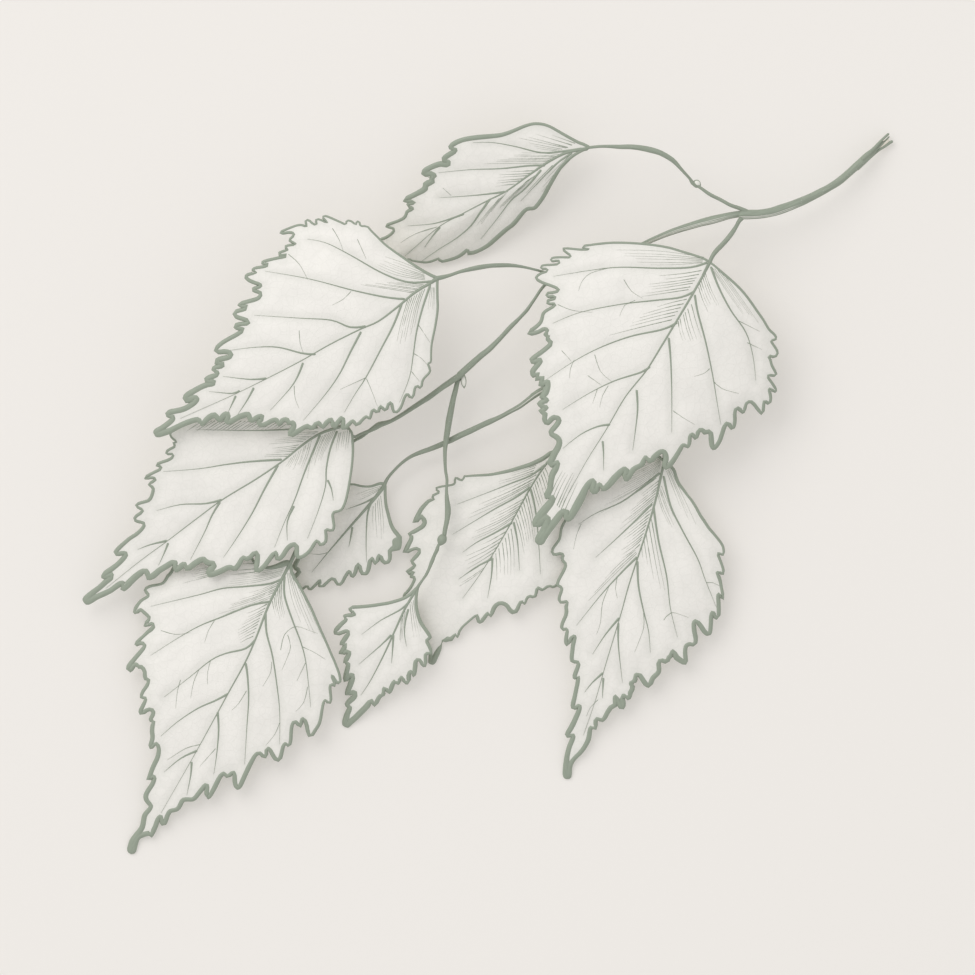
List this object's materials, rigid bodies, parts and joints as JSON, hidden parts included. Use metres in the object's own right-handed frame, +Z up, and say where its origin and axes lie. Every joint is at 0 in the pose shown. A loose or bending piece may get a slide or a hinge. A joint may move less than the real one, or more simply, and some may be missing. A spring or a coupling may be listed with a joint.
{
  "type": "leafy birch branch",
  "caption": "Cut leafy birch twig lying flat: forked shoots with buds and pointed, doubly toothed, veined leaves on slender stalks.",
  "frame": {"origin": "on the surface that the twig lies on, under the middle of its box", "axes": "+X to the right in the view from above, towards the cut end of the stem; +Y towards the top leaf; +Z up from the surface"},
  "size_m": [0.1622, 0.146, 0.0177],
  "materials": {
    "bark": "sage-grey bark, fine lengthwise streaks",
    "bud": "satin sage-grey bud scales",
    "leaf": "pale cream blade, sage veins and margin"
  },
  "bodies": {
    "root": {"main_stem": "bark", "upper_shoot": "bark", "middle_shoot": "bark", "left_shoot": "bark", "end_shoot": "bark", "lower_shoot": "bark", "hanging_shoot": "bark", "bud_upper": "bud", "bud_middle": "bud", "bud_hanging": "bud", "leaf_top": "leaf", "leaf_right": "leaf", "leaf_upper_left": "leaf", "leaf_left": "leaf", "leaf_lower_left": "leaf", "leaf_inner": "leaf", "leaf_middle": "leaf", "leaf_hanging": "leaf", "leaf_lower_right": "leaf"}
  },
  "joints": []
}
